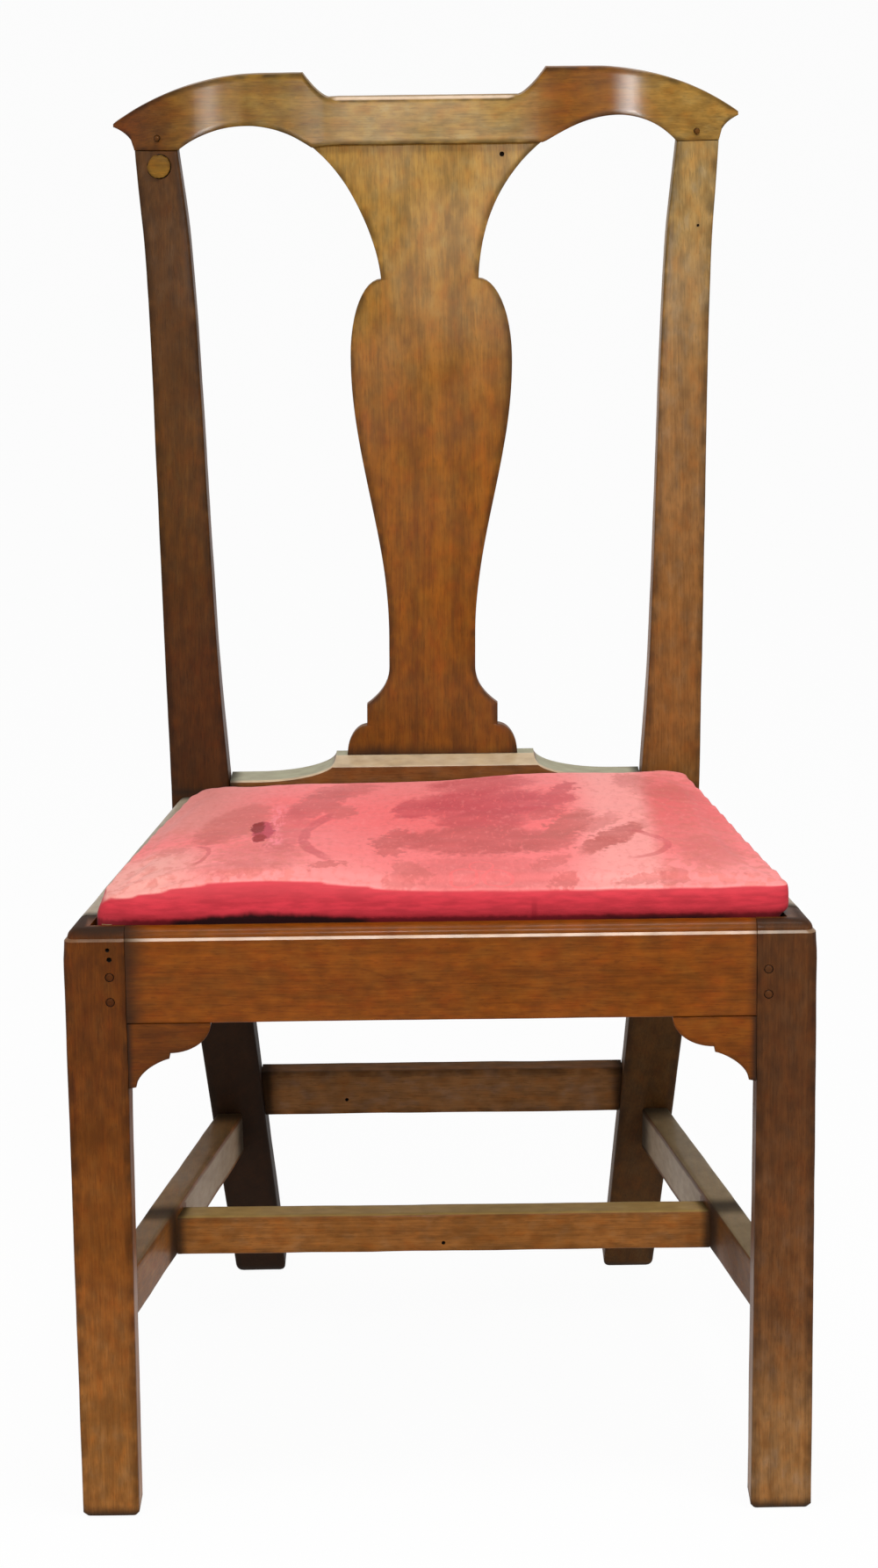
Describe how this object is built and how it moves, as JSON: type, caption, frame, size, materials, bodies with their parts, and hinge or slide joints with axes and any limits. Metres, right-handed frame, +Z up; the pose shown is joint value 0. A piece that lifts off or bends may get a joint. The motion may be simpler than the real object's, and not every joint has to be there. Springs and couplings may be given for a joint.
{
  "type": "fiddleback side chair",
  "caption": "Wooden side chair with a solid vase-shaped splat under an eared crest rail, straight legs tied by stretchers, and a padded drop-in seat.",
  "frame": {"origin": "on the floor at the middle of the chair's footprint", "axes": "+Z up along the chair's height, the front of the chair faces -Y, +X to the right as seen from the front"},
  "size_m": [0.52, 0.5343, 0.9915],
  "materials": {
    "leg_wood": "waxed, worn reddish brown",
    "post_wood": "waxed, dark brown",
    "splat_wood": "waxed, golden brown",
    "rail_wood": "waxed, warm brown",
    "stretcher_wood": "worn, olive brown",
    "inner_wood": "bare secondary wood",
    "plug_wood": "waxed, light brown",
    "damask": "faded rose and crimson damask",
    "linen": "undyed linen and jute",
    "hair": "curled hair"
  },
  "bodies": {
    "chair_frame": {"crest_peg_left": "post_wood", "crest_peg_right": "post_wood", "crest_rail": "post_wood", "front_bracket_left": "rail_wood", "front_bracket_right": "rail_wood", "front_corner_block_left": "inner_wood", "front_corner_block_right": "inner_wood", "front_leg_left": "leg_wood", "front_leg_right": "leg_wood", "front_rail_peg_left_lower": "rail_wood", "front_rail_peg_left_upper": "rail_wood", "front_rail_peg_right_lower": "rail_wood", "front_rail_peg_right_upper": "rail_wood", "front_seat_rail": "rail_wood", "medial_stretcher": "stretcher_wood", "post_plug": "plug_wood", "rear_corner_block_left": "inner_wood", "rear_corner_block_right": "inner_wood", "rear_post_left": "post_wood", "rear_post_right": "post_wood", "rear_seat_rail": "rail_wood", "rear_stretcher": "stretcher_wood", "shoe": "splat_wood", "side_rail_front_peg_left_lower": "rail_wood", "side_rail_front_peg_left_upper": "rail_wood", "side_rail_front_peg_right_lower": "rail_wood", "side_rail_front_peg_right_upper": "rail_wood", "side_rail_rear_peg_left_lower": "rail_wood", "side_rail_rear_peg_left_upper": "rail_wood", "side_rail_rear_peg_right_lower": "rail_wood", "side_rail_rear_peg_right_upper": "rail_wood", "side_seat_rail_left": "rail_wood", "side_seat_rail_right": "rail_wood", "side_stretcher_left": "stretcher_wood", "side_stretcher_right": "stretcher_wood", "splat": "splat_wood"},
    "drop_in_seat": {"base_cloth": "linen", "seat_cover": "damask", "seat_frame_back": "inner_wood", "seat_frame_front": "inner_wood", "seat_frame_left": "inner_wood", "seat_frame_right": "inner_wood", "seat_stuffing": "hair", "web_crosswise_1": "linen", "web_crosswise_2": "linen", "web_crosswise_3": "linen", "web_lengthwise_1": "linen", "web_lengthwise_2": "linen", "web_lengthwise_3": "linen"}
  },
  "joints": [
    {"name": "seat_lift", "type": "slide", "parent": "chair_frame", "child": "drop_in_seat", "axis": [0, 0, 1], "range_m": [0, 0.12]}
  ]
}
